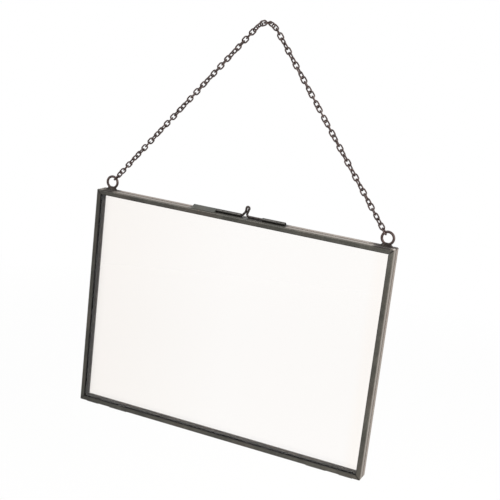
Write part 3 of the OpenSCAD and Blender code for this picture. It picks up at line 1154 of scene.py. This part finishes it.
@dataclass(frozen=True)
class RingSolder:
    """The two heaps of solder that the rings' feet are sunk in.

    Each heap is poured over the wire and wets the top edge round it, so it is
    an uneven dome with a thin skirt.
    """

    plan: LeafPlan = LeafPlan()
    half_size_mm: Triple = (3.2, 1.35, 1.8)
    skirt_mm: float = 0.9
    skirt_spread: Triple = (1.22, 1.1, 1.0)
    foot_mm: float = 0.02
    lump_mm: float = 1.5
    lump_depth: int = 1
    lump_height_mm: float = 0.28
    lump_level: float = 0.5
    segments: int = 64
    rings: int = 40
    smooth_deg: float = 60.0
    weld_mm: float = 0.001

    def pour(self) -> bpy.types.Object:
        """Models one heap about the origin, with its underside at height zero.

        Returns:
            The heap, with its modifiers applied.
        """
        bpy.ops.object.select_all(action="DESELECT")
        bpy.ops.mesh.primitive_uv_sphere_add(
            segments=self.segments, ring_count=self.rings, radius=1.0,
            location=(0, 0, 0),
        )
        heap = bpy.context.object
        bpy.ops.object.mode_set(mode="EDIT")
        bpy.ops.mesh.select_all(action="SELECT")
        bpy.ops.transform.resize(
            value=[half * MM for half in self.half_size_mm], center_override=(0, 0, 0),
        )
        bpy.ops.object.mode_set(mode="OBJECT")
        lumps = bpy.data.textures.new("solder_lumps", "CLOUDS")
        lumps.noise_scale = self.lump_mm * MM
        lumps.noise_depth = self.lump_depth
        swell = heap.modifiers.new("lumps", "DISPLACE")
        swell.texture = lumps
        swell.texture_coords = "LOCAL"
        swell.strength = self.lump_height_mm * MM
        swell.mid_level = self.lump_level
        bpy.ops.object.modifier_apply(modifier=swell.name)
        self.level_foot(heap)
        bpy.ops.object.shade_smooth_by_angle(angle=math.radians(self.smooth_deg))
        return heap

    def level_foot(self, heap: bpy.types.Object) -> None:
        """Cuts the heap level at height zero and draws its skirt out.

        Args:
            heap: The heap, the active object.
        """
        bpy.ops.object.mode_set(mode="EDIT")
        bpy.ops.mesh.select_all(action="SELECT")
        bpy.ops.mesh.bisect(
            plane_co=(0, 0, 0), plane_no=(0, 0, 1), clear_inner=True, use_fill=True,
        )
        bpy.ops.mesh.select_all(action="DESELECT")
        shell = bmesh.from_edit_mesh(heap.data)
        for vertex in shell.verts:
            vertex.select = vertex.co.z < self.foot_mm * MM
        shell.select_flush_mode()
        bmesh.update_edit_mesh(heap.data)
        bpy.ops.transform.resize(
            value=self.skirt_spread, center_override=(0, 0, 0),
            use_proportional_edit=True, proportional_edit_falloff="SHARP",
            proportional_size=self.skirt_mm * MM,
        )
        bpy.ops.mesh.select_all(action="SELECT")
        bpy.ops.mesh.remove_doubles(threshold=self.weld_mm * MM)
        bpy.ops.mesh.normals_make_consistent(inside=False)
        bpy.ops.object.mode_set(mode="OBJECT")

    def build(self, finish: bpy.types.Material) -> None:
        """Sets a heap under each ring, as one piece in place of the plain beads.

        Args:
            finish: The solder's finish.
        """
        heap = self.pour()
        bpy.ops.object.duplicate()
        other = bpy.context.object
        plan = self.plan
        reach = plan.width / 2 - plan.ring_inset
        heap.location = Vector((plan.middle_x - reach, 0.0, plan.top_z)) * MM
        other.location = Vector((plan.middle_x + reach, 0.0, plan.top_z)) * MM
        other.rotation_euler.z = math.pi
        heap.select_set(True)
        bpy.context.view_layer.objects.active = heap
        bpy.ops.object.transform_apply(location=True, rotation=True, scale=True)
        bpy.ops.object.join()
        heap.name = "ring_solder_heaps"
        heap.data.materials.clear()
        heap.data.materials.append(finish)
        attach(heap, "rear_leaf")
        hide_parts("ring_solder")
        LOG.info("%s: %d faces", heap.name, len(heap.data.polygons))


@dataclass
class Hanging:
    """The rings with their solder, and the chain."""

    runs: tuple[str, ...] = (
        "chain_end_link_left", "chain_left", "chain_crest", "chain_right",
        "chain_end_link_right",
    )
    heaps: RingSolder = RingSolder()

    def finish(self, shop: Workshop) -> None:
        """Dresses the rings and every run of the chain, and pours the solder.

        Args:
            shop: Holder of the finishes.
        """
        for side in ENDS:
            dress(f"{side.value}_ring", shop.wire)
        dress("ring_solder", shop.solder)
        for run in self.runs:
            dress(run, shop.wire)
        self.heaps.build(shop.ring_solder)


def background_rays(tree: Tree) -> Socket:
    """Finds the rays that show the plain background.

    Args:
        tree: Node tree of a material or of the world.

    Returns:
        One for what is seen directly, in metal or through glass, and else zero.
    """
    path = add_node(tree, "ShaderNodeLightPath")
    seen = add_node(
        tree, "ShaderNodeMath",
        {0: path.outputs["Is Camera Ray"], 1: path.outputs["Is Glossy Ray"]},
        operation="MAXIMUM",
    )
    shown = add_node(
        tree, "ShaderNodeMath",
        {0: seen.outputs["Value"], 1: path.outputs["Is Transmission Ray"]},
        operation="MAXIMUM",
    )
    return shown.outputs["Value"]


@dataclass(frozen=True)
class WhitePaper(Finish):
    """Matt white background paper.

    It shows the frame's shadow near the frame, and far off it runs to the plain
    white of the surround.
    """

    paper: str = "#F4F3F1"
    glow: str = "#FFFFFF"
    fade_m: Span = (0.5, 1.7)
    fade_shares: Span = (0.86, 1.0)

    def surface(self, tree: Tree) -> Socket:
        """Adds the nodes of the paper: its own colour and its even white.

        Args:
            tree: Empty node tree of the material.

        Returns:
            The shader of the finished surface.
        """
        place = add_node(tree, "ShaderNodeTexCoord").outputs["Object"]
        reach = add_node(
            tree, "ShaderNodeVectorMath", {0: place}, operation="LENGTH",
        )
        whitened = add_node(
            tree, "ShaderNodeMapRange", {"Value": reach.outputs["Value"]},
            {"From Min": self.fade_m[0], "From Max": self.fade_m[1],
             "To Min": self.fade_shares[0], "To Max": self.fade_shares[1]},
        )
        share = add_node(
            tree, "ShaderNodeMath",
            {0: background_rays(tree), 1: whitened.outputs["Result"]},
            operation="MULTIPLY",
        )
        lit = add_node(
            tree, "ShaderNodeBsdfDiffuse", None, {"Color": linear(self.paper)},
        )
        even = add_node(
            tree, "ShaderNodeEmission", None,
            {"Color": linear(self.glow), "Strength": 1.0},
        )
        mixed = add_node(
            tree, "ShaderNodeMixShader",
            {0: share.outputs["Value"], 1: lit.outputs["BSDF"],
             2: even.outputs["Emission"]},
        )
        return mixed.outputs["Shader"]


@dataclass(frozen=True)
class Softbox:
    """One square soft light that faces the frame's middle."""

    name: str
    place_mm: Triple
    side_mm: float
    watts: float

    def hang(self) -> None:
        """Hangs the light at its place in the part's frame."""
        data = bpy.data.lights.new(self.name, "AREA")
        data.size = self.side_mm * MM
        data.energy = self.watts
        lamp = bpy.data.objects.new(self.name, data)
        low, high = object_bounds()
        lamp.location = Vector(self.place_mm) * MM
        aim = (low + high) / 2 - lamp.location
        lamp.rotation_euler = aim.to_track_quat("-Z", "Y").to_euler()
        bpy.context.scene.collection.objects.link(lamp)


@dataclass
class Studio:
    """Camera, soft lights, a pale floor and a white surround."""

    image_px: float = 500.0
    focal_px: float = 1074.2
    sensor_mm: float = 36.0
    eye_mm: Triple = (230.859, -539.883, 19.073)
    turn_deg: Triple = (76.2414, -6.5, 24.2767)
    clip_m: Span = (0.01, 50.0)
    floor_drop_mm: float = 360.0
    floor_size_mm: float = 9000.0
    white: str = "#FFFFFF"
    white_strength: float = 1.0
    soft_strength: float = 0.55
    lamps: tuple[Softbox, ...] = (
        Softbox("key_softbox", (-650.0, -900.0, 700.0), 700.0, 9.0),
        Softbox("side_softbox", (900.0, -250.0, 250.0), 600.0, 9.0),
        Softbox("back_softbox", (200.0, 900.0, 600.0), 800.0, 7.0),
    )

    def camera(self) -> None:
        """Puts the camera where the photograph was taken from."""
        data = bpy.data.cameras.new("photo_camera")
        data.sensor_width = self.sensor_mm
        data.lens = self.focal_px / self.image_px * self.sensor_mm
        data.clip_start, data.clip_end = self.clip_m
        eye = bpy.data.objects.new("photo_camera", data)
        eye.location = Vector(self.eye_mm) * MM
        eye.rotation_euler = [math.radians(angle) for angle in self.turn_deg]
        bpy.context.scene.collection.objects.link(eye)
        bpy.context.scene.camera = eye

    def floor(self) -> None:
        """Lays a pale floor well below the hanging frame."""
        low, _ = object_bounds()
        bpy.ops.object.select_all(action="DESELECT")
        bpy.ops.mesh.primitive_plane_add(
            size=self.floor_size_mm * MM,
            location=(0.0, 0.0, low.z - self.floor_drop_mm * MM),
        )
        floor = bpy.context.object
        floor.name = "studio_floor"
        floor.data.materials.append(WhitePaper("matt_white_paper").build())
        floor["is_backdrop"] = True

    def surround(self) -> None:
        """Fills the world: white where it is seen, and a softer light elsewhere."""
        world = bpy.data.worlds.new("studio_surround")
        bpy.context.scene.world = world
        world.use_nodes = True
        tree = world.node_tree
        tree.nodes.clear()
        soft, white = (
            add_node(
                tree, "ShaderNodeBackground", None,
                {"Color": linear(self.white), "Strength": strength},
            ).outputs["Background"]
            for strength in (self.soft_strength, self.white_strength)
        )
        mixed = add_node(
            tree, "ShaderNodeMixShader", {0: background_rays(tree), 1: soft, 2: white},
        )
        add_node(tree, "ShaderNodeOutputWorld", {"Surface": mixed.outputs["Shader"]})

    def build(self) -> None:
        """Builds the whole studio."""
        bpy.context.scene.view_settings.view_transform = "Standard"
        self.camera()
        self.floor()
        self.surround()
        for lamp in self.lamps:
            lamp.hang()


def main() -> None:
    """Dresses the frame, piece by piece, and sets up the studio."""
    logging.basicConfig(level=logging.INFO, format="%(name)s: %(message)s")
    shop = Workshop()
    Leaf(Layer.FRONT).finish(shop.sheet, shop.glass)
    Leaf(Layer.REAR).finish(shop.rear_sheet, shop.glass)
    Latch().finish(shop)
    Hinges().finish(shop)
    Hanging().finish(shop)
    Studio().build()


if __name__ == "__main__":
    main()
